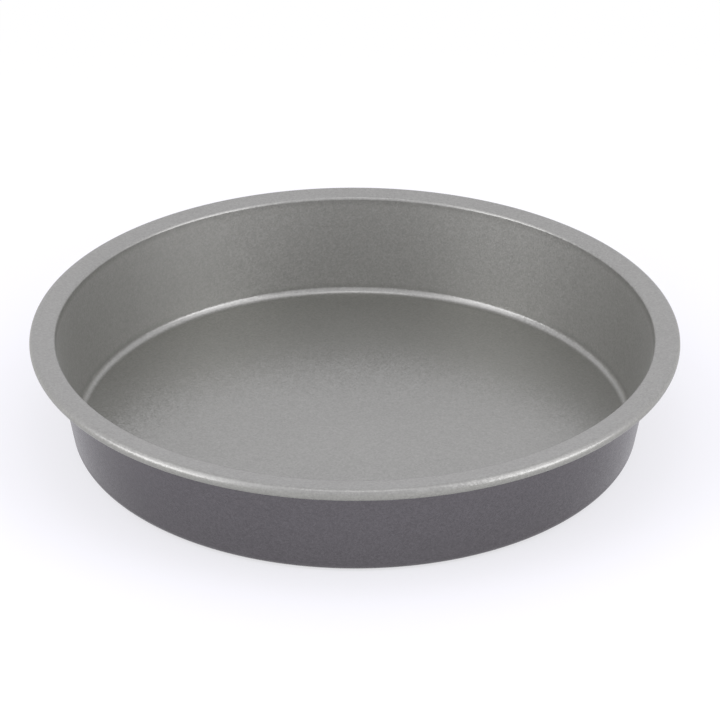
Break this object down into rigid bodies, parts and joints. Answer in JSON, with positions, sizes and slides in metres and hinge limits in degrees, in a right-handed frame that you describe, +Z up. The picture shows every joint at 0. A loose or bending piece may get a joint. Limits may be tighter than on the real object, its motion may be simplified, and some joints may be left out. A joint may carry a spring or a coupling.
{
  "type": "round cake tin",
  "caption": "Round shallow cake tin with a flat base, flared wall, wide flange and rolled rim, silver grey inside and dark outside.",
  "frame": {"origin": "centre of the underside, on the surface that the tin stands on", "axes": "+Z up along the tin's axis, out of the open mouth; the tin is the same all round, so +X and +Y are free"},
  "size_m": [0.25, 0.25, 0.0428],
  "materials": {
    "steel_sheet": "bare pressed steel at the cut end of the sheet",
    "inside_coat": "satin silver grey non-stick coat with a fine metallic grain",
    "outside_coat": "satin dark gunmetal non-stick coat with a fine metallic grain"
  },
  "bodies": {
    "root": {"steel_shell": "steel_sheet", "inside_coat": "inside_coat", "outside_coat": "outside_coat"}
  },
  "joints": []
}
